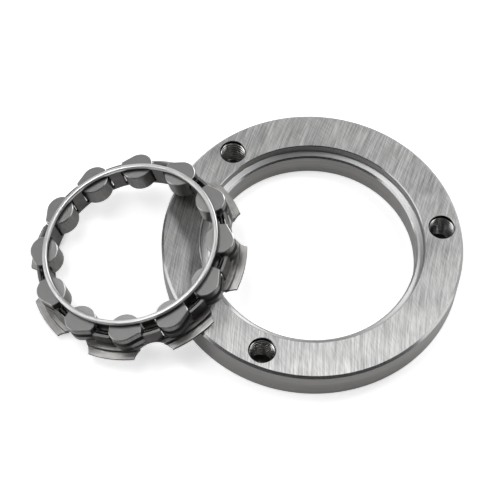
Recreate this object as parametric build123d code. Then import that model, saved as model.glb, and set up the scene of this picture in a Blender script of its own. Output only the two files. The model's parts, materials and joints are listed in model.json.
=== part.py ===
"""Starter one-way sprag clutch: an outer ring and the sprag unit that fits in its bore.

The ring lies flat, counterbore up, with its first tapped hole on +X. The sprag unit (two
pressed cages, twelve sprags and a garter spring) lies beside it, its flange edge on the
bench and its other side leaning on the rim of the ring.

Frame: millimetres, +Z up, origin on the axis of the bore at the ring's lower face.
"""
from build123d import *
from math import acos, asin, atan2, cos, degrees, hypot, radians, sin, sqrt
import os

os.makedirs("parts", exist_ok=True)

# ---------------------------------------------------------------- sizes, millimetres
# The two races. The space between them is what the sprags bridge.
INNER_RACE_DIAMETER = 44.45     # hub of the mating gear, not part of this clutch
SPRAG_SPACE = 8.33              # radial gap between hub and bore

# Outer ring
SHOULDER_WIDTH = 2.245          # ledge round the bore that the tabs sit on
RIM_WIDTH = 11.2                # from the counterbore out to the edge; the holes are in its middle
RING_THICKNESS = 10.7
RING_TOP_CHAMFER = 0.7
RING_FOOT_CHAMFER = 0.3
COUNTERBORE_DEPTH = 2.8
COUNTERBORE_EDGE_BREAK = 0.25
BORE_LEAD_IN = 0.5              # chamfer where the sprags enter
BORE_FOOT_CHAMFER = 0.3
HOLE_COUNT = 3
HOLE_DIAMETER = 8.0             # M8, cut at the thread's major diameter

# Sprags
SPRAG_COUNT = 12
SPRAG_LENGTH = 6.35
SPRAG_INNER_PROUD = 0.2         # free sprags stand inside the line of the hub
SPRAG_TIP_CLEARANCE = 0.2       # free sprags stay below the bore
INNER_CAM_RADIUS = 4.75         # the round lobe that rolls on the hub
OUTER_CAM_RADIUS = 4.2          # the cam that wedges in the bore
OUTER_CAM_OFFSET = 0.75         # sideways shift of that cam, which gives the wedging rise
HORN_ANGLE = 74.0               # corner of the sprag, from the radial line, on the lobe
SPRAG_CORNER_RADIUS = 0.25
SPRAG_EDGE_BREAK = 0.2
SPRAG_PHASE = 10.7              # first sprag, from the middle of the first tab
SPRAG_REST_HEIGHT = 0.5         # lower ends of the sprags, above the web of the outer cage

# Cages, pressed from sheet
INNER_CAGE_SHEET = 0.9
INNER_CAGE_STANDOFF = 2.675     # from the hub out to the sleeve
INNER_CAGE_FOOT_BAND = 1.0      # solid band below the windows
INNER_CAGE_RIM_BAND = 1.85      # solid band above them, up to the rounded rim
RIM_THICKNESS = 1.4             # the rim is upset, so it stands proud of the sheet on both sides
RIM_HEIGHT = 1.3
RIM_ROUNDING = 0.5
RIM_ROUNDING_STEPS = 3          # short bevels stand for each rounded corner of the rim
OUTER_CAGE_SHEET = 0.75
OUTER_CAGE_STANDOFF = 1.8       # from the wall out to the bore
OUTER_BAR_DROP = 1.7            # the bars end this far below the upper ends of the sprags
PILOT_CLEARANCE = 0.1           # the flange's shoulder centres itself in the bore
JOGGLE_HEIGHT = 0.8             # step from the tabs up to that shoulder
FLANGE_CLEARANCE = 0.3          # tabs inside the counterbore
BEND = 0.4                      # bevels that stand for the small radii of the pressed bends
SHOULDER_BEVEL = 0.25
TAB_COUNT = 8
NOTCH_RADIUS = 6.5              # round cut-outs between the tabs
NOTCH_BITE = 0.25               # how far they cut into the outside of the wall
WINDOW_SIDE_CLEARANCE = 0.2
WINDOW_END_CLEARANCE = 0.15

# Garter spring, modelled as the plain ring that its coils fill
SPRING_GAP = 0.2                # between the coils and each cage
SLOT_SIDE_CLEARANCE = 0.1
SEAT_RADIUS = 3.0               # rounded floor of the slot, where the spring bears
SEAT_OFFSET = 0.8               # sideways, so that the spring tips the sprag into its wedge
SEAT_CLEARANCE = 0.12

# How the sprag unit lies against the ring
UNIT_OVERLAP = 25.6             # how far the flange reaches over the edge of the ring, in plan
UNIT_AZIMUTH = 177.5            # direction from the ring to the unit
UNIT_SPIN = -17.4               # first tab, from the uphill direction
REST_GAP = 0.1                  # air left under the flange at the bench and at the ring

# ---------------------------------------------------------------- worked out from them
hub_radius = INNER_RACE_DIAMETER / 2
bore_radius = hub_radius + SPRAG_SPACE
recess_radius = bore_radius + SHOULDER_WIDTH
ring_radius = recess_radius + RIM_WIDTH
hole_circle_radius = recess_radius + RIM_WIDTH / 2

inner_cage_bore = hub_radius + INNER_CAGE_STANDOFF
inner_wall_radius = inner_cage_bore + INNER_CAGE_SHEET
outer_wall_radius = bore_radius - OUTER_CAGE_STANDOFF
outer_cage_bore = outer_wall_radius - OUTER_CAGE_SHEET
pilot_radius = bore_radius - PILOT_CLEARANCE
tab_radius = recess_radius - FLANGE_CLEARANCE
step_radius = pilot_radius - OUTER_CAGE_SHEET

web_top = JOGGLE_HEIGHT + OUTER_CAGE_SHEET
sprag_base = web_top + SPRAG_REST_HEIGHT
sprag_middle = sprag_base + SPRAG_LENGTH / 2
sprag_top = sprag_base + SPRAG_LENGTH
window_sill = sprag_base - WINDOW_END_CLEARANCE
window_head = sprag_top + WINDOW_END_CLEARANCE
outer_cage_top = sprag_top - OUTER_BAR_DROP

pivot_radius = hub_radius - SPRAG_INNER_PROUD + INNER_CAM_RADIUS
tip_radius = bore_radius - SPRAG_TIP_CLEARANCE
cam_reach = sqrt((tip_radius - OUTER_CAM_RADIUS) ** 2 - OUTER_CAM_OFFSET ** 2)
cam_centre = Vector(cam_reach - pivot_radius, -OUTER_CAM_OFFSET)

spring_radius = (inner_wall_radius + outer_cage_bore) / 2
coil_diameter = outer_cage_bore - inner_wall_radius - 2 * SPRING_GAP


def ring_of_places(count, radius, start=0.0):
    """Evenly spaced places on a circle, each turned to face outwards."""
    for i in range(count):
        angle = start + i * 360 / count
        yield Location((0, 0, 0), (0, 0, angle)) * Location((radius, 0, 0))


def revolved(outline):
    """Turn an outline of radius and height about the Z axis."""
    with BuildPart() as body:
        with BuildSketch(Plane.XZ):
            with BuildLine():
                Polyline(*outline, close=True)
            make_face()
        revolve(axis=Axis.Z)
    return body.part


# ---------------------------------------------------------------- outer ring
def outer_ring():
    """Turned ring: through bore, counterbore for the flange, three tapped holes."""
    top = RING_THICKNESS
    floor = RING_THICKNESS - COUNTERBORE_DEPTH
    outline = [
        (bore_radius + BORE_FOOT_CHAMFER, 0),
        (ring_radius - RING_FOOT_CHAMFER, 0),
        (ring_radius, RING_FOOT_CHAMFER),
        (ring_radius, top - RING_TOP_CHAMFER),
        (ring_radius - RING_TOP_CHAMFER, top),
        (recess_radius + COUNTERBORE_EDGE_BREAK, top),
        (recess_radius, top - COUNTERBORE_EDGE_BREAK),
        (recess_radius, floor),
        (bore_radius + BORE_LEAD_IN, floor),
        (bore_radius, floor - BORE_LEAD_IN),
        (bore_radius, BORE_FOOT_CHAMFER),
    ]
    ring = revolved(outline)
    for place in ring_of_places(HOLE_COUNT, hole_circle_radius):
        ring -= place * Cylinder(HOLE_DIAMETER / 2, 3 * RING_THICKNESS)
    return ring


# ---------------------------------------------------------------- sprags
def polar(centre, radius, angle):
    return Vector(centre.X + radius * cos(radians(angle)), centre.Y + radius * sin(radians(angle)))


def sprag_outline():
    """Seen from the rim, pivot at the origin, X outwards: lobe, flat facet, wedging cam."""
    pivot = Vector(0, 0)
    horn = polar(pivot, INNER_CAM_RADIUS, HORN_ANGLE)
    reach = horn - cam_centre
    facing = degrees(atan2(reach.Y, reach.X))
    facet_end = facing - degrees(acos(OUTER_CAM_RADIUS / reach.length))
    facet_point = polar(cam_centre, OUTER_CAM_RADIUS, facet_end)

    # the corner on the far side is where the two cams cross
    gap = cam_centre.length
    along = (INNER_CAM_RADIUS ** 2 - OUTER_CAM_RADIUS ** 2 + gap ** 2) / (2 * gap)
    across = sqrt(INNER_CAM_RADIUS ** 2 - along ** 2)
    direction = cam_centre.normalized()
    heel = direction * along + Vector(-direction.Y, direction.X) * across
    heel_on_cam = degrees(atan2(heel.Y - cam_centre.Y, heel.X - cam_centre.X))
    cam_middle = polar(cam_centre, OUTER_CAM_RADIUS, (facet_end + heel_on_cam) / 2)
    lobe_bottom = Vector(-INNER_CAM_RADIUS, 0)

    with BuildSketch() as sketch:
        with BuildLine():
            Line(horn, facet_point)
            ThreePointArc(facet_point, cam_middle, heel)
            ThreePointArc(heel, lobe_bottom, horn)
        make_face()
        corners = sketch.vertices().sort_by(Axis.Y)
        fillet([corners[0], corners[-1]], SPRAG_CORNER_RADIUS)
    return sketch.sketch


def spring_slot():
    """Slot round the outside of a sprag at mid-length, with a rounded seat as its floor."""
    width = coil_diameter + 2 * SLOT_SIDE_CLEARANCE
    seat_top = spring_radius - coil_diameter / 2 - SEAT_CLEARANCE - pivot_radius
    floor = seat_top - SEAT_RADIUS / 2
    length = tip_radius - pivot_radius - floor + 1
    slot = Pos(floor + length / 2, 0, 0) * Box(length, 4 * INNER_CAM_RADIUS, width)
    seat = Pos(seat_top - SEAT_RADIUS, SEAT_OFFSET, 0) * Cylinder(SEAT_RADIUS, width)
    return Pos(0, 0, sprag_middle) * (slot - seat)


def sprag():
    """One sprag about its own pivot."""
    body = extrude(sprag_outline(), amount=SPRAG_LENGTH)
    ends = body.edges().group_by(Axis.Z)
    body = chamfer(ends[0] + ends[-1], SPRAG_EDGE_BREAK)
    return Pos(0, 0, sprag_base) * body - spring_slot()


# ---------------------------------------------------------------- cages
def window_half_width(wall_radius):
    """Half the width that lets the sprag's round lobe through a cage wall of this radius."""
    reach = (wall_radius ** 2 + pivot_radius ** 2 - INNER_CAM_RADIUS ** 2) / (2 * pivot_radius)
    return sqrt(wall_radius ** 2 - reach ** 2) + WINDOW_SIDE_CLEARANCE


def inner_cage():
    """Straight sleeve with a thick rounded rim and a window for each sprag."""
    foot = window_sill - INNER_CAGE_FOOT_BAND
    crest = window_head + INNER_CAGE_RIM_BAND
    wall_middle = (inner_cage_bore + inner_wall_radius) / 2
    swell = (RIM_THICKNESS - INNER_CAGE_SHEET) / 2
    half_rim = [(INNER_CAGE_SHEET / 2, crest - RIM_HEIGHT),
                (RIM_THICKNESS / 2, crest - RIM_HEIGHT + swell)]
    for i in range(RIM_ROUNDING_STEPS + 1):
        turn = radians(90 * i / RIM_ROUNDING_STEPS)
        half_rim.append((RIM_THICKNESS / 2 - RIM_ROUNDING * (1 - cos(turn)),
                         crest - RIM_ROUNDING * (1 - sin(turn))))
    outside = [(wall_middle + out, height) for out, height in half_rim]
    inside = [(wall_middle - out, height) for out, height in reversed(half_rim)]
    cage = revolved([(inner_cage_bore, foot), (inner_wall_radius, foot)] + outside + inside)
    half = window_half_width(inner_wall_radius)
    height = window_head - window_sill
    depth = 4 * INNER_CAGE_SHEET
    for place in ring_of_places(SPRAG_COUNT, inner_wall_radius, SPRAG_PHASE):
        cage -= place * Pos(0, 0, sprag_middle) * Box(depth, 2 * half, height)
    return cage


def outer_cage():
    """Castellated wall on a joggled flange, with round notches that leave the tabs."""
    cage = revolved([
        (outer_cage_bore, outer_cage_top),
        (outer_wall_radius, outer_cage_top),
        (outer_wall_radius, web_top + BEND),
        (outer_wall_radius + BEND, web_top),
        (pilot_radius - SHOULDER_BEVEL, web_top),
        (pilot_radius, web_top - SHOULDER_BEVEL),
        (pilot_radius, OUTER_CAGE_SHEET),
        (tab_radius, OUTER_CAGE_SHEET),
        (tab_radius, 0),
        (step_radius, 0),
        (step_radius, JOGGLE_HEIGHT),
        (outer_cage_bore + BEND, JOGGLE_HEIGHT),
        (outer_cage_bore, JOGGLE_HEIGHT + BEND),
    ])

    # notches: punched between the tabs, through the flange and just into the wall
    notch_height = web_top + BEND
    notch_centre = outer_wall_radius - NOTCH_BITE + NOTCH_RADIUS
    for place in ring_of_places(TAB_COUNT, notch_centre, 180 / TAB_COUNT):
        cage -= place * Pos(0, 0, notch_height / 2) * Cylinder(NOTCH_RADIUS, notch_height)

    # open-topped windows: the bars between them guide the sprags
    half = window_half_width(outer_cage_bore)
    height = outer_cage_top - window_sill
    depth = 2 * (pilot_radius - outer_cage_bore)
    for place in ring_of_places(SPRAG_COUNT, outer_wall_radius, SPRAG_PHASE):
        cage -= place * Pos(0, 0, window_sill + height / 2) * Box(depth, 2 * half, height)
    return cage


def garter_spring():
    """The space that the coils fill, an eight-sided ring between the two cages."""
    with BuildPart() as body:
        with BuildSketch(Plane.XZ):
            with Locations((spring_radius, sprag_middle)):
                RegularPolygon(coil_diameter / 2, 8, rotation=22.5)
        revolve(axis=Axis.Z)
    return body.part


# ---------------------------------------------------------------- the unit on the bench
def lean_angle():
    """Lean at which the flange clears both the bench and the top edge of the ring.

    The flange's underside is a flat annulus from the joggle out to the tabs. It meets the
    ring's edge first at its inner radius, at a distance 'uphill' along the lean.
    """
    edge = ring_radius - RING_TOP_CHAMFER
    lean = 0.0
    for _ in range(20):
        squash = cos(lean)
        a = squash ** 2 - 1
        b = -2 * unit_distance * squash
        c = unit_distance ** 2 + step_radius ** 2 - edge ** 2
        uphill = c / -b if a == 0 else (-b - sqrt(b * b - 4 * a * c)) / (2 * a)
        lean = asin(RING_THICKNESS / (tab_radius + uphill))
    return degrees(lean)


unit_distance = ring_radius + tab_radius - UNIT_OVERLAP
lean = lean_angle()
unit_height = tab_radius * sin(radians(lean)) + REST_GAP
unit_place = (Location((unit_distance * cos(radians(UNIT_AZIMUTH)),
                        unit_distance * sin(radians(UNIT_AZIMUTH)), unit_height))
              * Location((0, 0, 0), (0, 0, UNIT_AZIMUTH - 180))
              * Location((0, 0, 0), (0, -lean, 0))
              * Location((0, 0, 0), (0, 0, UNIT_SPIN)))


def write(name, shape):
    solid = shape.solids()[0]
    solid.label = name
    export_step(solid, f"parts/{name}.step")
    print(f"{name}: {len(shape.solids())} solid, {solid.volume:.1f} mm3")


write("outer_ring", outer_ring())
write("outer_cage", unit_place * outer_cage())
write("inner_cage", unit_place * inner_cage())
write("garter_spring", unit_place * garter_spring())

one_sprag = sprag()
for number, place in enumerate(ring_of_places(SPRAG_COUNT, pivot_radius, SPRAG_PHASE), start=1):
    write(f"sprag_{number:02d}", unit_place * place * one_sprag)

axis_tip = unit_place * Location((0, 0, 1))
axis = axis_tip.position - unit_place.position
print(f"lean {lean:.3f} deg, unit centre {tuple(round(v, 3) for v in unit_place.position)}, "
      f"axis {tuple(round(v, 5) for v in axis)}")
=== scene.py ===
# %% [markdown]
# # A starter one-way sprag clutch
# The part is two loose things on a bench. A heavy turned ring lies flat, and a light sprag unit
# leans on its rim. The unit is two pressed steel cages, twelve sprags between them and a garter
# spring that runs round through all the sprags. The packed model is the frame: its nodes keep
# their shapes and places. This script gives them their finishes, and adds what the solids leave
# out: the threads in the holes and the coils of the spring.

# %% Load the frame
import json
import math

import bpy
from mathutils import Matrix, Vector


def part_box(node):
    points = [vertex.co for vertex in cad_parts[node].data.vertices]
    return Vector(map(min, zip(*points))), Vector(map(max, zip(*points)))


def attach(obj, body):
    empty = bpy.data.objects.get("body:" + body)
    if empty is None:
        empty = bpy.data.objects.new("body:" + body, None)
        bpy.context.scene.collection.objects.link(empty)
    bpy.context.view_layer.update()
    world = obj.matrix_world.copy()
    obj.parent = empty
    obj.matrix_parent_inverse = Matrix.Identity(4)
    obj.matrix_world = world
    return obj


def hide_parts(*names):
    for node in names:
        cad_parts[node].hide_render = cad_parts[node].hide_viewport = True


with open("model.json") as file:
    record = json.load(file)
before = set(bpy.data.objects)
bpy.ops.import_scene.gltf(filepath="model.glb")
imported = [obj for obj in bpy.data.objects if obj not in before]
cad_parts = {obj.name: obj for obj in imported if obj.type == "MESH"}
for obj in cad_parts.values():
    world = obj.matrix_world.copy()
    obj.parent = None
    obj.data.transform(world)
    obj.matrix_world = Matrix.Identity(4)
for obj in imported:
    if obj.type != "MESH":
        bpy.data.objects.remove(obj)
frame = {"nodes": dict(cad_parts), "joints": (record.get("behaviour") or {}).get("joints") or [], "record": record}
NODES = frame["nodes"]
JOINTS = {joint["name"]: joint for joint in frame["joints"]}
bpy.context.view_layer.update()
MM = 0.001

# %% [markdown]
# ## Where the ring's features are
# The finishes change at the bore, at the counterbore and at the holes, so their sizes are needed.
# They could be typed in again, but then a changed model would no longer fit. Here they are read
# from the frame: the ring's box gives its radius and thickness, and the mounts give the rest. The
# holes lie midway between the counterbore and the edge, which gives the counterbore's radius.

# %% Sizes of the ring
ring_low, ring_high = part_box("outer_ring")
RING_RADIUS = (ring_high.x - ring_low.x) / 2
RING_TOP = ring_high.z
mount_sizes = {mount["name"]: mount["dims"] for mount in frame["record"]["mounts"]}
holes = mount_sizes["tapped_holes"]
BORE_RADIUS = mount_sizes["bore"]["r_mm"] * MM
RECESS_RADIUS = holes["pcd_mm"] * MM - RING_RADIUS
HOLE_RADIUS = holes["hole_r_mm"] * MM
HOLE_CIRCLE_RADIUS = holes["pcd_mm"] / 2 * MM
HOLE_COUNT = holes["count"]
print(f"ring {RING_RADIUS / MM:.1f}, counterbore {RECESS_RADIUS / MM:.1f}, "
      f"bore {BORE_RADIUS / MM:.2f} mm radius")

# %% [markdown]
# ## The sprag unit's axis
# The unit leans, so nothing on it is upright in the scene. The joint that turns it gives its
# axis, and the first sprag's joint gives the direction that angles are counted from. The reach of
# a node is measured from its points, about that axis.

# %% The unit's axis and reach
unit_axis = Vector(JOINTS["unit_turn"]["axis"]).normalized()
unit_middle = Vector(JOINTS["unit_turn"]["pos_m"])
pivot_arm = Vector(JOINTS["tilt_01"]["pos_m"]) - unit_middle
pivot_arm -= unit_axis * pivot_arm.dot(unit_axis)
unit_x = pivot_arm.normalized()
unit_y = unit_axis.cross(unit_x)


def unit_reach(node):
    """Smallest and largest radius, and lowest and highest place, of a node about the axis."""
    radii, heights = [], []
    for vertex in NODES[node].data.vertices:
        arm = vertex.co - unit_middle
        height = arm.dot(unit_axis)
        radii.append((arm - unit_axis * height).length)
        heights.append(height)
    return min(radii), max(radii), min(heights), max(heights)


spring_in, spring_out, spring_low, spring_high = unit_reach("garter_spring")
sleeve_in, _, _, sleeve_high = unit_reach("inner_cage")
_, cage_out, _, cage_high = unit_reach("outer_cage")
print(f"unit: sleeve from {sleeve_in / MM:.1f}, flange out to {cage_out / MM:.1f} mm radius")

# %% [markdown]
# ## The camera
# A long lens, held at arm's length, looks well down on the bench. The camera could be turned with
# three angles, but those are hard to read. Here it is set by a point to aim at, a heading, an
# elevation and a slight roll, and the rotation is built from them.

# %% Camera
AIM = Vector((-17.99, 2.32, 4.89)) * MM
CAMERA_DISTANCE = 471.65 * MM
CAMERA_HEADING = math.radians(8.8)      # from +Y towards +X
CAMERA_ELEVATION = math.radians(60.754)
CAMERA_ROLL = math.radians(1.676)
CAMERA_FIELD = math.radians(17.74)
NEAREST, FARTHEST = 10 * MM, 20.0       # what the camera draws, in metres


def make_camera():
    level = Vector((math.sin(CAMERA_HEADING), math.cos(CAMERA_HEADING), 0))
    forward = level * math.cos(CAMERA_ELEVATION) - Vector((0, 0, math.sin(CAMERA_ELEVATION)))
    right = level.cross(Vector((0, 0, 1)))
    up = right.cross(forward)
    rolled_right = right * math.cos(CAMERA_ROLL) + up * math.sin(CAMERA_ROLL)
    rolled_up = up * math.cos(CAMERA_ROLL) - right * math.sin(CAMERA_ROLL)
    data = bpy.data.cameras.new("camera")
    data.lens_unit = "FOV"
    data.angle = CAMERA_FIELD
    data.clip_start = NEAREST
    data.clip_end = FARTHEST
    camera = bpy.data.objects.new("camera", data)
    turn = Matrix((rolled_right, rolled_up, -forward)).transposed()
    camera.matrix_world = Matrix.Translation(AIM - forward * CAMERA_DISTANCE) @ turn.to_4x4()
    bpy.context.scene.collection.objects.link(camera)
    bpy.context.scene.camera = camera
    return camera.matrix_world.translation


print("camera at", tuple(round(v, 3) for v in make_camera()))

# %% [markdown]
# ## Building node trees
# Materials can be drawn by hand in the shader editor, but here they are built in code, so that
# they can be read and changed as text. A small class adds a node, sets its values and links its
# inputs in one call. Each material below then reads as a list of what feeds what.

# %% Node helper
class Tree:
    """Adds nodes to a node tree and links them by socket name or number."""

    def __init__(self, node_tree):
        self.node_tree = node_tree

    def add(self, kind, inputs=None, **settings):
        node = self.node_tree.nodes.new(kind)
        for name, value in settings.items():
            setattr(node, name, value)
        for socket, value in (inputs or {}).items():
            self.feed(node.inputs[socket], value)
        return node

    def feed(self, socket, value):
        """Link a socket to another node's output, or set it to a plain value."""
        if isinstance(value, bpy.types.NodeSocket):
            self.node_tree.links.new(value, socket)
        else:
            socket.default_value = value

    def math(self, operation, *values):
        return self.add("ShaderNodeMath", dict(enumerate(values)), operation=operation).outputs[0]

    def vector(self, operation, *values):
        return self.add("ShaderNodeVectorMath", dict(enumerate(values)), operation=operation)

    def dot(self, vector, direction):
        return self.vector("DOT_PRODUCT", vector, direction).outputs["Value"]


print("node helper:", Tree.__doc__)

# %% [markdown]
# ### Mixing and stepping
# Nearly every finish here is one value in one place and another value next to it. These helpers
# say so in a word: a smooth step tells the places apart, and the mixes choose between two
# numbers, two directions or two colours.

# %% Mixing helpers
def step(tree, value, low, high):
    """0 at low, 1 at high, and smooth between them."""
    inputs = {"Value": value, "From Min": low, "From Max": high}
    return tree.add("ShaderNodeMapRange", inputs, interpolation_type="SMOOTHSTEP").outputs["Result"]


def blend(tree, factor, a, b):
    """A number between a and b."""
    inputs = {"Value": factor, "To Min": a, "To Max": b}
    return tree.add("ShaderNodeMapRange", inputs).outputs["Result"]


def pick(tree, factor, a, b):
    """A direction between a and b."""
    return tree.add("ShaderNodeMix", {0: factor, 4: a, 5: b}, data_type="VECTOR").outputs[1]


def mix(tree, factor, a, b):
    """A colour between a and b."""
    return tree.add("ShaderNodeMix", {0: factor, 6: a, 7: b}, data_type="RGBA").outputs[2]


def grey(level, warmth=0.0):
    """A colour from a linear grey level, a little warm or cool."""
    return (level * (1 + warmth), level, level * (1 - warmth), 1)


def varied(tree, mask, level, low, high, warmth=0.0):
    """A grey that a mask varies between two shares of its level."""
    return mix(tree, mask, grey(level * low, warmth), grey(level * high, warmth))


print("mixing helpers ready")

# %% [markdown]
# ## Shared effect: round the axis
# Turned and pressed parts change their finish with the radius and the height, so every material
# here needs a point's radius from an axis and its height along it. Painted masks could give that,
# but they would need a texture for each part. The group works it out from the part's own
# coordinates, which move with it, and from the axis's origin and direction. It also tells how
# much a face looks along the axis (rise) and away from it (facing).

# %% Group: round the axis
FLOAT, VECTOR = "NodeSocketFloat", "NodeSocketVector"


def new_group(name, inputs, outputs):
    """An empty node group with named sockets: its tree, its inputs and its output sockets."""
    group = bpy.data.node_groups.new(name, "ShaderNodeTree")
    for socket, kind in inputs.items():
        group.interface.new_socket(socket, in_out="INPUT", socket_type=kind)
    for socket in outputs:
        group.interface.new_socket(socket, in_out="OUTPUT", socket_type=FLOAT)
    tree = Tree(group)
    return group, tree, tree.add("NodeGroupInput").outputs, tree.add("NodeGroupOutput").inputs


def build_round_axis():
    group, tree, given, result = new_group(
        "round_axis", {"Origin": VECTOR, "Axis": VECTOR, "Start": VECTOR},
        ["Radius", "Height", "Angle", "Rise", "Facing"])
    place = tree.add("ShaderNodeTexCoord").outputs["Object"]
    normal = tree.add("ShaderNodeTexCoord").outputs["Normal"]
    arm = tree.vector("SUBTRACT", place, given["Origin"]).outputs[0]
    height = tree.dot(arm, given["Axis"])
    along = tree.add("ShaderNodeVectorMath", {0: given["Axis"], "Scale": height},
                     operation="SCALE").outputs[0]
    flat = tree.vector("SUBTRACT", arm, along).outputs[0]
    side = tree.vector("CROSS_PRODUCT", given["Axis"], given["Start"]).outputs[0]
    across, ahead = tree.dot(flat, side), tree.dot(flat, given["Start"])
    outward = tree.vector("NORMALIZE", flat).outputs[0]
    tree.feed(result["Radius"], tree.vector("LENGTH", flat).outputs["Value"])
    tree.feed(result["Height"], height)
    tree.feed(result["Angle"], tree.math("ARCTAN2", across, ahead))
    tree.feed(result["Rise"], tree.dot(normal, given["Axis"]))
    tree.feed(result["Facing"], tree.dot(normal, outward))
    return group


round_axis = build_round_axis()
print("group:", round_axis.name)

# %% [markdown]
# ## Shared effect: fine lines
# Ground, turned and drawn steel all carry fine parallel lines. A wave texture would space them
# too evenly. Noise that is squeezed hard across the lines and stretched along them looks like the
# marks of real grains and tool tips. The group takes how far a point lies across and along the
# lines, and puts out fine lines and, from a second and coarser noise, bands of lighter ones.

# %% Group: fine lines
BAND_WIDTH = 5.0                # how many times coarser the bands are than the lines
DARKEST_NOISE, LIGHTEST_NOISE = 0.25, 0.75


def build_fine_lines():
    group, tree, given, result = new_group(
        "fine_lines", {"Across": FLOAT, "Along": FLOAT, "Pitch": FLOAT, "Length": FLOAT},
        ["Lines", "Bands"])
    for name, widen in (("Lines", 1.0), ("Bands", BAND_WIDTH)):
        across = tree.math("DIVIDE", given["Across"], tree.math("MULTIPLY", given["Pitch"], widen))
        along = tree.math("DIVIDE", given["Along"], tree.math("MULTIPLY", given["Length"], widen))
        place = tree.add("ShaderNodeCombineXYZ", {0: across, 1: along}).outputs[0]
        noise = tree.add("ShaderNodeTexNoise", {"Vector": place, "Scale": 1.0, "Detail": 2.0,
                                                "Roughness": 0.6}, noise_dimensions="2D")
        tree.feed(result[name],
                  step(tree, noise.outputs["Fac"], DARKEST_NOISE, LIGHTEST_NOISE))
    return group


fine_lines = build_fine_lines()
print("group:", fine_lines.name)

# %% [markdown]
# ## Shared effect: tumbled steel
# Pressed and hardened parts are tumbled in stones, which leaves a soft cloudy surface with small
# marks. It has no direction, so two plain noises of different size stand for it: one for the
# clouds and one, finer, for the marks.

# %% Group: tumbled steel
MARKS_PER_CLOUD = 6.0           # how many times finer the marks are than the clouds
THIN_CLOUD, THICK_CLOUD = 0.3, 0.7


def build_tumbled():
    group, tree, given, result = new_group("tumbled", {"Size": FLOAT}, ["Cloud", "Marks"])
    place = tree.add("ShaderNodeTexCoord").outputs["Object"]
    scale = tree.math("DIVIDE", 1.0, given["Size"])
    cloud = tree.add("ShaderNodeTexNoise", {"Vector": place, "Scale": scale, "Detail": 2.0})
    fine = tree.math("MULTIPLY", scale, MARKS_PER_CLOUD)
    marks = tree.add("ShaderNodeTexNoise", {"Vector": place, "Scale": fine, "Detail": 4.0,
                                            "Roughness": 0.7})
    tree.feed(result["Cloud"], step(tree, cloud.outputs["Fac"], THIN_CLOUD, THICK_CLOUD))
    tree.feed(result["Marks"], marks.outputs["Fac"])
    return group


tumbled = build_tumbled()
print("group:", tumbled.name)

# %% [markdown]
# ## Starting a material
# Each steel starts the same way: a Principled shader set to metal, and the group that knows where
# a point is round its axis. What differs between steels comes after that: the colour, the
# roughness, and a bump whose depth is given in metres.

# %% Material starter
WORLD_AXIS = ((0, 0, 0), (0, 0, 1), (1, 0, 0))      # origin, axis and start of the ring and holes
UNIT_AXIS = (unit_middle, unit_axis, unit_x)


def new_steel(name, origin, axis, start):
    material = bpy.data.materials.new(name)
    material.use_nodes = True
    material.node_tree.nodes.clear()
    tree = Tree(material.node_tree)
    shader = tree.add("ShaderNodeBsdfPrincipled", {"Metallic": 1.0})
    tree.add("ShaderNodeOutputMaterial", {"Surface": shader.outputs[0]}, is_active_output=True)
    place = tree.add("ShaderNodeGroup", {"Origin": origin, "Axis": axis, "Start": start},
                     node_tree=round_axis)
    return material, tree, shader, place.outputs


def lines_at(tree, across, along, pitch, length):
    return tree.add("ShaderNodeGroup", {"Across": across, "Along": along, "Pitch": pitch,
                                        "Length": length}, node_tree=fine_lines).outputs


def tumbled_at(tree, size):
    return tree.add("ShaderNodeGroup", {"Size": size}, node_tree=tumbled).outputs


def roughened(tree, smooth, marks, added):
    """A roughness that the marks raise."""
    return tree.math("MULTIPLY_ADD", marks, added, smooth)


def finish_steel(tree, shader, colour, roughness, height, depth):
    bump = tree.add("ShaderNodeBump", {"Height": height, "Distance": depth, "Strength": 1.0})
    tree.feed(shader.inputs["Base Color"], colour)
    tree.feed(shader.inputs["Roughness"], roughness)
    tree.feed(shader.inputs["Normal"], bump.outputs[0])


def dress(nodes, material):
    for name in nodes:
        materials = NODES[name].data.materials
        materials.clear()
        materials.append(material)
    print("material:", material.name, "on", len(nodes), "nodes")


print("material starter ready")

# %% [markdown]
# ## The ring's grinding marks
# The ring is turned all over, hardened, and then ground. The wheel that grinds its flat face is
# much larger than the ring, so its marks are arcs, nearly straight, round a point well outside
# the ring, with a fainter second set where the wheel leaves again. Straight lines would be
# simpler, but then the light would lie on the face in one flat sheet, and not in a fan.

# %% Ring marks
WHEEL_CENTRE = Vector((220, -78, 0)) * MM       # of the arcs that the wheel leaves
LEAVING_CENTRE = Vector((-210, -120, 0)) * MM   # of the fainter arcs that cross them
MARK_PITCH, MARK_LENGTH = 0.34 * MM, 9 * MM
TURNING_PITCH, TURNING_ARC = 0.12 * MM, 0.5     # the arc in radians
STAIN_SIZE = 9 * MM


def arcs_round(tree, centre, pitch, length):
    """Fine lines along arcs round a vertical axis through the centre."""
    place = tree.add("ShaderNodeGroup", {"Origin": centre, "Axis": (0, 0, 1),
                                         "Start": -centre.normalized()}, node_tree=round_axis)
    along = tree.math("MULTIPLY", place.outputs["Angle"], centre.length)
    return lines_at(tree, place.outputs["Radius"], along, pitch, length)


print("ring marks:", MARK_PITCH / MM, "mm apart")

# %% [markdown]
# ### Which way the marks run
# Light spreads across such marks and not along them. A bump alone can't show that, because the
# marks are too fine to be drawn one by one, so the shader is anisotropic, and its tangent points
# across the marks. The material works the tangent out from a point's place and normal: away from
# the wheel's centre on the ground face, away from the ring's axis on the shoulder in the
# counterbore, which is only turned, and upright on the walls.

# %% Ring tangent
EDGE_BLEND = 0.3 * MM
LEVEL_FROM, LEVEL_FULL = 0.7, 0.9


def on_face(tree, radius):
    """1 on the ground face outside the counterbore, 0 inside it."""
    return step(tree, radius, RECESS_RADIUS - EDGE_BLEND, RECESS_RADIUS)


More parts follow.
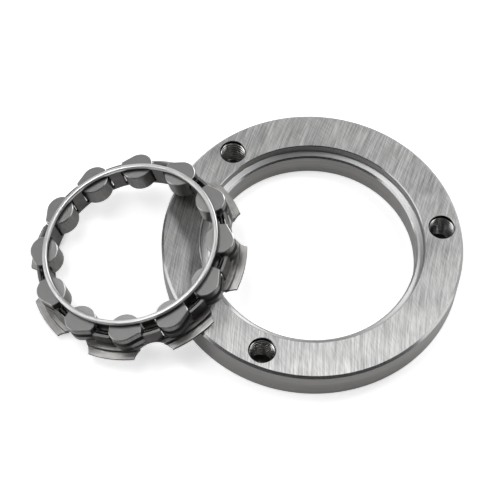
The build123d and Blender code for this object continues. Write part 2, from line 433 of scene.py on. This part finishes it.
def ring_tangent(tree):
    point = tree.add("ShaderNodeTexCoord").outputs["Object"]
    normal = tree.add("ShaderNodeTexCoord").outputs["Normal"]
    from_axis = tree.vector("MULTIPLY", point, (1, 1, 0)).outputs[0]
    radius = tree.vector("LENGTH", from_axis).outputs["Value"]
    from_wheel = tree.vector("SUBTRACT", from_axis, WHEEL_CENTRE).outputs[0]
    level = step(tree, tree.dot(normal, (0, 0, 1)), LEVEL_FROM, LEVEL_FULL)
    return pick(tree, level, (0, 0, 1), pick(tree, on_face(tree, radius), from_axis, from_wheel))


print("ring tangent changes at", round(RECESS_RADIUS / MM, 2), "mm")

# %% [markdown]
# ### The ring's steel
# Each surface of the ring has its own finish: a bright ground face, a bright turned shoulder,
# a duller wall in the bore, a counterbore wall painted darker still as painted shade in the
# recess, a dull hardened side, and smooth bevels. They could be separate materials on separate
# faces. One material that tells them apart by radius and by the way they look is easier to keep,
# because no faces have to be picked.

# %% Ring colours
GROUND_FACE, TURNED_SHOULDER, GROUND_BORE = 0.57, 0.98, 0.29
RECESS_WALL_SHADE, HARDENED_SIDE, BEVELLED = 0.20, 0.30, 0.45
BAND_SHARE, LEAVING_SHARE, STAIN_SHARE = 0.35, 0.22, 0.15
WALL_DARK, WALL_LIGHT = 0.9, 1.1        # shares of the wall's own grey
TRUE_FROM, TRUE_FULL = 0.90, 0.98       # how squarely a face looks up or out, to be no bevel
PAST_BORE = (0.5 * MM, 1.2 * MM)        # the bore's finish gives way to the recess's here,
PAST_RECESS = (2 * MM, 3 * MM)          # and the recess's to the side's here


def ground_marks(tree):
    """How light the ground face is, from both sets of arcs and from old stains."""
    entering = arcs_round(tree, WHEEL_CENTRE, MARK_PITCH, MARK_LENGTH)
    leaving = arcs_round(tree, LEAVING_CENTRE, MARK_PITCH, MARK_LENGTH / 2)
    marks = mix(tree, BAND_SHARE, entering["Lines"], entering["Bands"])
    marks = mix(tree, LEAVING_SHARE, marks, leaving["Lines"])
    return mix(tree, STAIN_SHARE, marks, tumbled_at(tree, STAIN_SIZE)["Cloud"])


def wall_colour(tree, radius, bands):
    """The colour of the bore, of the counterbore's wall or of the side, by radius."""
    # painted shade: the counterbore's wall is painted darker than the bore
    bore, recess, side = (varied(tree, bands, level, WALL_DARK, WALL_LIGHT, 0.02)
                          for level in (GROUND_BORE, RECESS_WALL_SHADE, HARDENED_SIDE))
    in_recess = step(tree, radius, *(BORE_RADIUS + past for past in PAST_BORE))
    outside = step(tree, radius, *(RECESS_RADIUS + past for past in PAST_RECESS))
    return mix(tree, outside, mix(tree, in_recess, bore, recess), side)


print("ring colours:", GROUND_FACE, "ground,", TURNED_SHOULDER, "turned")

# %% [markdown]
# ### Putting the ring's finish together
# The roughness follows the same places as the colour. The bevels are the smoothest, so that each
# edge draws a crisp line. The ground marks also raise the roughness a little and feed the bump.

# %% Ring steel
ROUGH_FACE, ROUGH_SHOULDER, ROUGH_WALL, ROUGH_BEVEL = 0.42, 0.50, 0.30, 0.20
GROUND_DARK, GROUND_LIGHT = 0.45, 1.55  # shares of the ground face's own grey
MARK_ROUGHNESS = 0.06
RING_BUMP = 0.003 * MM
RING_ANISOTROPY = 0.9


def ring_steel():
    material, tree, shader, place = new_steel("ring_steel", *WORLD_AXIS)
    marks = ground_marks(tree)
    turning = lines_at(tree, place["Radius"], place["Angle"], TURNING_PITCH, TURNING_ARC)
    wall_lines = lines_at(tree, place["Height"], place["Angle"], TURNING_PITCH, TURNING_ARC)
    flat = step(tree, tree.math("ABSOLUTE", place["Rise"]), TRUE_FROM, TRUE_FULL)
    steep = step(tree, tree.math("ABSOLUTE", place["Facing"]), TRUE_FROM, TRUE_FULL)
    face = on_face(tree, place["Radius"])

    ground = mix(tree, marks, grey(GROUND_FACE * GROUND_DARK, -0.01),
                 grey(GROUND_FACE * GROUND_LIGHT, 0.01))
    turned = varied(tree, turning["Bands"], TURNED_SHOULDER, 0.85, 1.0)
    wall = wall_colour(tree, place["Radius"], wall_lines["Bands"])
    colour = mix(tree, flat, mix(tree, steep, grey(BEVELLED), wall),
                 mix(tree, face, turned, ground))

    rough = blend(tree, flat, blend(tree, steep, ROUGH_BEVEL, ROUGH_WALL),
                  blend(tree, face, ROUGH_SHOULDER, ROUGH_FACE))
    rough = roughened(tree, rough, marks, MARK_ROUGHNESS)
    height = tree.math("ADD", tree.math("MULTIPLY", mix(tree, face, turning["Lines"], marks), flat),
                       tree.math("MULTIPLY", wall_lines["Lines"], steep))
    finish_steel(tree, shader, colour, rough, height, RING_BUMP)
    tree.feed(shader.inputs["Tangent"], ring_tangent(tree))
    shader.inputs["Anisotropic"].default_value = RING_ANISOTROPY
    return material


dress(["outer_ring"], ring_steel())

# %% [markdown]
# ## The outer cage's steel
# The outer cage is pressed from strip and tumbled. Its wall, which looks away from the axis, is
# painted nearly black, as painted shade for the dark that it mirrors. Its flange and tabs are
# drawn over the die, which leaves them bright and streaked round the cage. The tops of the bars
# are a middle grey, partly worn bright and partly a painted highlight along their edge. The way a
# face looks tells the flange from the wall, and the height tells the tops of the bars.

# %% Outer cage steel
CAGE_WALL_SHADE, CAGE_TAB, CAGE_BAR_TOP_WEAR_AND_HIGHLIGHT = 0.075, 0.38, 0.16
DRAWN_PITCH, DRAWN_ARC = 0.25 * MM, 0.25        # the arc in radians
CAGE_ROUGH, CAGE_ROUGH_MARKS = 0.24, 0.14
CAGE_CLOUD, CAGE_BUMP = 3 * MM, 0.008 * MM
FLANGE_FROM, FLANGE_FULL = 0.6, 0.95    # how much a face looks along the axis
BAR_TOP_FROM, BAR_TOP_FULL = 0.12 * MM, 0.04 * MM       # below the highest point
CLOUD_SHARE = 0.4               # of the clouds among the streaks


def outer_cage_steel():
    material, tree, shader, place = new_steel("outer_cage_steel", *UNIT_AXIS)
    marks = tumbled_at(tree, CAGE_CLOUD)
    drawn = lines_at(tree, place["Radius"], place["Angle"], DRAWN_PITCH, DRAWN_ARC)
    flat = step(tree, place["Rise"], FLANGE_FROM, FLANGE_FULL)
    bar_top = step(tree, place["Height"], cage_high - BAR_TOP_FROM, cage_high - BAR_TOP_FULL)
    streaks = mix(tree, CLOUD_SHARE, drawn["Lines"], marks["Cloud"])
    # painted shade: the wall is painted nearly black, and the flange keeps the tab's grey
    skin = varied(tree, marks["Cloud"], CAGE_WALL_SHADE, 0.7, 1.3, 0.03)
    tab = varied(tree, streaks, CAGE_TAB, 0.7, 1.3, 0.02)
    # the tops of the bars are part wear and part painted highlight
    colour = mix(tree, bar_top, mix(tree, flat, skin, tab), grey(CAGE_BAR_TOP_WEAR_AND_HIGHLIGHT, 0.01))
    rough = roughened(tree, CAGE_ROUGH, marks["Marks"], CAGE_ROUGH_MARKS)
    height = tree.math("MULTIPLY_ADD", drawn["Lines"], flat, marks["Marks"])
    finish_steel(tree, shader, colour, rough, height, CAGE_BUMP)
    return material


dress(["outer_cage"], outer_cage_steel())

# %% [markdown]
# ## The inner cage's steel
# The sleeve is tumbled, with faint marks along it from the press, and it is painted nearly black,
# as painted shade for the dark that it mirrors deep in the unit. Its thick rim is polished nearly
# white, and the polish fades out just below it, so the height along the axis is enough to tell
# the two finishes apart.

# %% Inner cage steel
RIM_BAND, RIM_FADE = 1.25 * MM, 0.25 * MM       # depth of the polished band and of its fade
SLEEVE_SHADE, POLISHED_RIM = 0.10, 0.66
PRESS_PITCH, PRESS_LENGTH = 0.008, 3 * MM       # the pitch in radians
SLEEVE_ROUGH, SLEEVE_ROUGH_MARKS = 0.30, 0.08
SLEEVE_CLOUD, SLEEVE_BUMP = 2.5 * MM, 0.005 * MM


def inner_cage_steel():
    material, tree, shader, place = new_steel("inner_cage_steel", *UNIT_AXIS)
    marks = tumbled_at(tree, SLEEVE_CLOUD)
    pressed = lines_at(tree, place["Angle"], place["Height"], PRESS_PITCH, PRESS_LENGTH)
    band_foot = sleeve_high - RIM_BAND
    rim = step(tree, place["Height"], band_foot, band_foot + RIM_FADE)
    streaks = mix(tree, 0.5, pressed["Lines"], marks["Cloud"])
    # painted shade: the sleeve below the rim is painted nearly black
    skin = varied(tree, streaks, SLEEVE_SHADE, 0.7, 1.3, 0.03)
    polish = varied(tree, marks["Cloud"], POLISHED_RIM, 0.95, 1.0, 0.005)
    rough = roughened(tree, SLEEVE_ROUGH, marks["Marks"], SLEEVE_ROUGH_MARKS)
    finish_steel(tree, shader, mix(tree, rim, skin, polish), rough, marks["Marks"], SLEEVE_BUMP)
    return material


dress(["inner_cage"], inner_cage_steel())

# %% [markdown]
# ## The sprags' steel
# Sprags are drawn as a shaped wire and parted off, then hardened and barrel finished. The cams
# are smooth and dark, with faint draw lines along the sprag. The parted ends are a matt grey,
# painted lighter towards the hub as painted light on their inner parts. Every edge is a light
# grey, partly worn bright and partly a painted highlight. The broken edges of the solids look
# neither along the axis nor away from it, which is how the material finds them.

# %% Sprag steel
SPRAG_CAM, SPRAG_END, SPRAG_HUB_LIGHT, SPRAG_EDGE_WEAR_AND_HIGHLIGHT = 0.18, 0.25, 0.36, 0.50
DRAW_PITCH, DRAW_LENGTH = 0.006, 4 * MM         # the pitch in radians
CAM_ROUGH, END_ROUGH, SPRAG_ROUGH_MARKS = 0.24, 0.40, 0.1
SPRAG_CLOUD, SPRAG_BUMP = 1.6 * MM, 0.006 * MM
EDGE_FROM, EDGE_FULL = 0.3, 0.6         # how much a face looks along the axis
HUB_LIGHT_FROM, HUB_LIGHT_FULL = 0.5 * MM, -1.5 * MM  # beyond the inside of the sleeve
PITTED, PITTED_SHARE = 0.7, 0.5         # how dark the marks on the ends are, and how strong


def sprag_steel():
    material, tree, shader, place = new_steel("sprag_steel", *UNIT_AXIS)
    marks = tumbled_at(tree, SPRAG_CLOUD)
    drawn = lines_at(tree, place["Angle"], place["Height"], DRAW_PITCH, DRAW_LENGTH)
    rise = tree.math("ABSOLUTE", place["Rise"])
    end = step(tree, rise, TRUE_FROM, TRUE_FULL)
    edge = tree.math("MULTIPLY", step(tree, rise, EDGE_FROM, EDGE_FULL),
                     tree.math("SUBTRACT", 1.0, end))
    # painted light: the ends are painted lighter inside the sleeve, towards the hub
    hub_light = step(tree, place["Radius"], sleeve_in + HUB_LIGHT_FROM, sleeve_in + HUB_LIGHT_FULL)
    cam = varied(tree, drawn["Lines"], SPRAG_CAM, 0.75, 1.25, 0.02)
    parted = mix(tree, hub_light, grey(SPRAG_END, 0.01), grey(SPRAG_HUB_LIGHT, 0.01))
    pitted = tree.math("MULTIPLY", marks["Marks"], PITTED_SHARE)
    parted = mix(tree, pitted, parted, grey(SPRAG_END * PITTED))
    # the edges' light grey is part wear and part painted highlight
    colour = mix(tree, edge, mix(tree, end, cam, parted), grey(SPRAG_EDGE_WEAR_AND_HIGHLIGHT, 0.01))
    rough = blend(tree, end, CAM_ROUGH, END_ROUGH)
    rough = roughened(tree, rough, marks["Marks"], SPRAG_ROUGH_MARKS)
    finish_steel(tree, shader, colour, rough, marks["Marks"], SPRAG_BUMP)
    return material


dress([name for name in NODES if name.startswith("sprag_")], sprag_steel())

# %% [markdown]
# ## Meshes from a grid
# The threads, the coils and the bench are all made of rows of points. A curve with a bevel or a
# screw modifier could make the coils and the threads, but neither gives a thread that ends in a
# countersink. One helper that joins rows of points into four-sided faces serves for all three.

# %% Grid mesh helper
def grid_mesh(name, rows, material, closed):
    """A mesh from rows of points. A closed grid meets itself both ways round."""
    width = len(rows[0])
    points = [point for row in rows for point in row]
    faces = []
    for i in range(len(rows) if closed else len(rows) - 1):
        below, above = i * width, (i + 1) % len(rows) * width
        for j in range(width if closed else width - 1):
            k = (j + 1) % width
            faces.append((below + j, below + k, above + k, above + j))
    mesh = bpy.data.meshes.new(name)
    mesh.from_pydata(points, [], faces)
    mesh.materials.append(material)
    for face in mesh.polygons:
        face.use_smooth = True
    piece = bpy.data.objects.new(name, mesh)
    bpy.context.scene.collection.objects.link(piece)
    return piece


print("grid helper ready")

# %% [markdown]
# ## The threads
# The three holes are tapped M8. The frame has them as plain holes at the thread's outer diameter,
# so each thread is a thin lining: its outside lies just inside the hole, and its inside follows
# the ridge of the thread, cut back by the countersinks at both ends. A bump map would be less
# work, but it can't show the ridges at the edge of a hole.

# %% Thread shape
THREAD_PITCH = 1.25 * MM
THREAD_CREST = 3.35 * MM        # radius at the tips of the ridges
RIDGE_HEIGHT, FLANK_SLOPE = 1.25, 2.9   # taller than 1, so that the crest is cut flat
LINING_GAP = 0.006 * MM
COUNTERSINK_DEPTH = 0.65 * MM
COUNTERSINK_CUT = 0.65          # the countersinks are cut duller than the crests


def thread_radius(height, turn):
    """Inside radius of the lining at a height and a part of a turn, and how bright it is cut."""
    phase = (height / THREAD_PITCH - turn) % 1
    ridge = min(1, max(0, RIDGE_HEIGHT - FLANK_SLOPE * abs(phase - 0.5)))
    root = HOLE_RADIUS - 2 * LINING_GAP
    radius = root - (root - THREAD_CREST) * ridge
    from_end = min(height, RING_TOP - height)
    countersink = root - (root - THREAD_CREST) * from_end / COUNTERSINK_DEPTH
    return max(radius, countersink), COUNTERSINK_CUT if radius < countersink else ridge


print("thread turns:", round(RING_TOP / THREAD_PITCH, 1))

# %% [markdown]
# ### The threads' steel
# A cut thread is bright on its crests, and its roots are painted nearly black, as painted shade
# deep in the thread. Each point of the mesh stores how far it stands up from the root, as an
# attribute, and the material reads it. The height of the ridge could be worked out in the material
# again, but then it would be written twice.

# %% Thread steel
THREAD_CUT, THREAD_ROOT_SHADE = 0.95, 0.012
SHADE_UP_TO, UNSHADED_FROM = 0.45, 0.85      # parts of the ridge's height
THREAD_ROUGH, THREAD_ROUGH_MARKS = 0.14, 0.1
THREAD_CLOUD, THREAD_BUMP = 1.0 * MM, 0.004 * MM


def thread_steel():
    material, tree, shader, _ = new_steel("thread_steel", *WORLD_AXIS)
    marks = tumbled_at(tree, THREAD_CLOUD)
    crest = tree.add("ShaderNodeAttribute", attribute_name="crest").outputs["Fac"]
    cut = varied(tree, marks["Cloud"], THREAD_CUT, 0.9, 1.0, 0.01)
    # painted shade: the roots are painted nearly black
    colour = mix(tree, step(tree, crest, SHADE_UP_TO, UNSHADED_FROM), grey(THREAD_ROOT_SHADE), cut)
    rough = roughened(tree, THREAD_ROUGH, marks["Marks"], THREAD_ROUGH_MARKS)
    finish_steel(tree, shader, colour, rough, marks["Marks"], THREAD_BUMP)
    return material


thread_material = thread_steel()
print("material:", thread_material.name)

# %% [markdown]
# ### Cutting the three threads
# The rows climb the inside of the lining and come back down its outside, and the grid is closed
# both ways, so each thread is one closed skin. It rides on the ring.

# %% Threads
THREAD_STEPS_ROUND = 64
THREAD_STEPS_PER_PITCH = 10


def make_thread(number, centre):
    steps = round(RING_TOP / THREAD_PITCH * THREAD_STEPS_PER_PITCH)
    heights = [LINING_GAP + (RING_TOP - 2 * LINING_GAP) * i / steps for i in range(steps + 1)]
    rows, crests = [], []
    for height in heights + [heights[-1], heights[0]]:
        on_outside = len(rows) > steps
        row = []
        for j in range(THREAD_STEPS_ROUND):
            turn = j / THREAD_STEPS_ROUND
            radius, crest = thread_radius(height, turn)
            if on_outside:
                radius, crest = HOLE_RADIUS - LINING_GAP, 0.0
            crests.append(crest)
            row.append(centre + Vector((radius * math.cos(math.tau * turn),
                                        radius * math.sin(math.tau * turn), height)))
        rows.append(row)
    piece = grid_mesh(f"thread_{number}", rows, thread_material, closed=True)
    piece.data.attributes.new("crest", "FLOAT", "POINT").data.foreach_set("value", crests)
    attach(piece, "ring")


for hole in range(HOLE_COUNT):
    angle = math.tau * hole / HOLE_COUNT
    make_thread(hole + 1, HOLE_CIRCLE_RADIUS * Vector((math.cos(angle), math.sin(angle), 0)))
print("threads:", HOLE_COUNT)

# %% [markdown]
# ## The garter spring's steel
# The spring is wound from drawn wire and left as it comes, dark and smooth, and its grey is painted
# darker still, as painted shade between the sprags. Little of it shows there, so a plain cloudy
# grey is enough.

# %% Spring steel
SPRING_DARK, SPRING_LIGHT = 0.10, 0.16
SPRING_ROUGH, SPRING_ROUGH_MARKS = 0.2, 0.1
SPRING_CLOUD, SPRING_BUMP = 0.8 * MM, 0.003 * MM


def spring_steel():
    material, tree, shader, _ = new_steel("spring_steel", *UNIT_AXIS)
    marks = tumbled_at(tree, SPRING_CLOUD)
    # painted shade: the wire's grey is painted very dark, for the shade between the sprags
    colour = mix(tree, marks["Cloud"], grey(SPRING_DARK, 0.02), grey(SPRING_LIGHT, 0.02))
    rough = roughened(tree, SPRING_ROUGH, marks["Marks"], SPRING_ROUGH_MARKS)
    finish_steel(tree, shader, colour, rough, marks["Marks"], SPRING_BUMP)
    return material


spring_material = spring_steel()
print("material:", spring_material.name)

# %% [markdown]
# ## The garter spring
# The garter spring is a long, close-wound coil spring whose ends are hooked together, so it makes
# a ring. The frame has a plain ring that fills its coils. A ridged tube would look much the same
# from afar, but here the wire itself is swept along a coil that runs round the unit's axis, and
# it replaces that ring.

# %% Garter spring
WIRE_DIAMETER = 0.34 * MM
WIRE_SIDES = 6
STEPS_PER_COIL = 14
COIL_CLEARANCE = 0.01 * MM


def wire_ring(around, coil, ring_line, middle, coil_radius):
    """The points round the wire, at an angle round the unit and an angle round the coil."""
    outward = unit_x * math.cos(around) + unit_y * math.sin(around)
    tangent = unit_y * math.cos(around) - unit_x * math.sin(around)
    spoke = outward * math.cos(coil) + unit_axis * math.sin(coil)
    centre = unit_middle + outward * ring_line + unit_axis * middle + spoke * coil_radius
    return [centre + (spoke * math.cos(side) + tangent * math.sin(side)) * WIRE_DIAMETER / 2
            for side in (math.tau * k / WIRE_SIDES for k in range(WIRE_SIDES))]


def make_spring():
    ring_line = (spring_in + spring_out) / 2
    middle = (spring_high + spring_low) / 2
    coil_radius = (spring_high - spring_low) / 2 - WIRE_DIAMETER / 2 - COIL_CLEARANCE
    coils = int(math.tau * (ring_line - coil_radius) / WIRE_DIAMETER)
    steps = coils * STEPS_PER_COIL
    rows = [wire_ring(math.tau * i / steps, math.tau * i / STEPS_PER_COIL,
                      ring_line, middle, coil_radius) for i in range(steps)]
    piece = grid_mesh("garter_coils", rows, spring_material, closed=True)
    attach(piece, "spring")
    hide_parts("garter_spring")
    return coils


print("garter spring coils:", make_spring())

# %% [markdown]
# ## The bench
# The bench is plain and white, and the camera should see clean white with only soft shadows close
# to the part. Brighter lamps would do that, but they would burn out the steel. So the floor is a
# white paint that takes the shadows, with a plain white glow added for the camera, and a weaker
# one for metal and glass, which mirror the bench. Close under the part, and in its holes and
# gaps, real contact shadows are nearly black, so an ambient occlusion node holds both the paint
# and the glow back there.

# %% Floor
FLOOR_REACH = 3.0               # from the middle, in metres
FLOOR_DROP = 0.1 * MM
FLOOR_PAINT, CONTACT_SHADE_PAINT = 0.85, 0.06         # the second is a share of the first
GLOW_TO_CAMERA, GLOW_MIRRORED = 0.60, 0.15
CONTACT_REACH = 12 * MM
SHUT_IN, OPEN = 0.15, 0.4       # what the occlusion node gives


def white_bench():
    material = bpy.data.materials.new("white_bench")
    material.use_nodes = True
    material.node_tree.nodes.clear()
    tree = Tree(material.node_tree)
    path = tree.add("ShaderNodeLightPath").outputs
    openness = tree.add("ShaderNodeAmbientOcclusion", {"Distance": CONTACT_REACH}).outputs["AO"]
    clear = step(tree, openness, SHUT_IN, OPEN)
    mirrored = tree.math("MAXIMUM", path["Is Glossy Ray"], path["Is Transmission Ray"])
    mirrored = tree.math("MULTIPLY", mirrored, GLOW_MIRRORED)
    glow = tree.math("MULTIPLY_ADD", path["Is Camera Ray"], GLOW_TO_CAMERA, mirrored)
    # painted contact shade: where the part stands close, the paint darkens to a small share of its white
    paint = tree.add("ShaderNodeBsdfDiffuse", {
        "Color": varied(tree, clear, FLOOR_PAINT, CONTACT_SHADE_PAINT, 1.0)})
    white = tree.add("ShaderNodeEmission", {
        "Color": grey(1.0), "Strength": tree.math("MULTIPLY", glow, clear)})
    both = tree.add("ShaderNodeAddShader", {0: paint.outputs[0], 1: white.outputs[0]})
    tree.add("ShaderNodeOutputMaterial", {"Surface": both.outputs[0]})
    return material


floor_rows = [[Vector((x * FLOOR_REACH, y * FLOOR_REACH, -FLOOR_DROP)) for x in (-1, 1)]
              for y in (-1, 1)]
grid_mesh("bench", floor_rows, white_bench(), closed=False)
print("floor:", FLOOR_REACH * 2, "m square")

# %% [markdown]
# ## The lamps
# Bare metal shows what stands round it, so the light is a small studio of square lamps, and not
# one sun. A compact key lamp stands high on the right: it grazes across the grinding marks, and
# the sprag unit throws its shadow on the ring. Two soft lamps high on the left light the unit's
# leaning faces, and a weaker one fills in from the right. The other four stand low round the
# bench, so that walls, edges and threads have something to show. A lamp's brightness is given as
# a mirror would show it, because that is what the steel does.

# %% Lamps
# azimuth and elevation in degrees, distance and size in metres, brightness
LAMPS = {
    "key": (26, 58, 0.7, 0.11, 16.5),
    "left": (140, 65, 1.0, 0.42, 3.0),
    "high_left": (170, 73, 1.0, 0.40, 3.3),
    "right": (0, 50, 1.0, 0.60, 1.3),
    "far_right": (43, 21, 1.0, 0.60, 3.0),
    "far": (100, 18, 1.0, 0.60, 1.0),
    "near_right": (343, 16, 1.0, 0.50, 1.1),
    "low_left": (176, 21, 1.0, 0.80, 1.7),
}


def area_lamp(name, azimuth, elevation, distance, size, brightness):
    """A square lamp that faces the part. Returns how light it makes a white floor."""
    azimuth, elevation = math.radians(azimuth), math.radians(elevation)
    way = Vector((math.cos(elevation) * math.cos(azimuth),
                  math.cos(elevation) * math.sin(azimuth), math.sin(elevation)))
    data = bpy.data.lights.new(name, "AREA")
    data.shape = "SQUARE"
    data.size = size
    data.energy = brightness * math.pi * size * size
    lamp = bpy.data.objects.new(name, data)
    lamp.location = AIM + way * distance
    lamp.rotation_mode = "QUATERNION"
    lamp.rotation_quaternion = way.to_track_quat("Z", "Y")
    bpy.context.scene.collection.objects.link(lamp)
    return brightness * size * size / distance ** 2 * math.sin(elevation) / math.pi


on_floor = {name: round(area_lamp(name, *values), 2) for name, values in LAMPS.items()}
print("light on a white floor:", on_floor)

# %% [markdown]
# ## The room
# Between the lamps the steel mirrors the room. Its far walls are pale. Its ceiling is dark, and
# so are the walls behind the camera, which draws dark lines along the edges that face it. An
# image of a studio could be used instead, but a step across the direction is enough. The camera
# itself sees plain white.

# %% Room
FAR_WALL = Vector((0.15, 0.99, 0))
WALLS_FROM, WALLS_FULL = -0.8, 0.2      # along the direction of the far wall
CEILING_FROM, WALL_TOP = 0.65, 0.10     # along the vertical
CEILING, FAR_WALLS, NEAR_WALLS = 0.025, 0.72, 0.10


def make_room():
    world = bpy.data.worlds.new("room")
    bpy.context.scene.world = world
    world.use_nodes = True
    world.node_tree.nodes.clear()
    tree = Tree(world.node_tree)
    path = tree.add("ShaderNodeLightPath").outputs
    direction = tree.add("ShaderNodeTexCoord").outputs["Generated"]
    away = step(tree, tree.dot(direction, FAR_WALL), WALLS_FROM, WALLS_FULL)
    low = step(tree, tree.dot(direction, (0, 0, 1)), CEILING_FROM, WALL_TOP)
    level = tree.math("MULTIPLY_ADD", blend(tree, away, NEAR_WALLS, FAR_WALLS), low, CEILING)
    room, white = (tree.add("ShaderNodeBackground", {"Color": grey(1.0), "Strength": strength})
                   for strength in (level, 1.0))
    both = tree.add("ShaderNodeMixShader", {0: path["Is Camera Ray"],
                                            1: room.outputs[0], 2: white.outputs[0]})
    tree.add("ShaderNodeOutputWorld", {"Surface": both.outputs[0]})


make_room()
bpy.context.scene.view_settings.view_transform = "Standard"
print("room: walls", NEAR_WALLS, "to", FAR_WALLS, "ceiling", CEILING)

# %% [markdown]
# ## The end
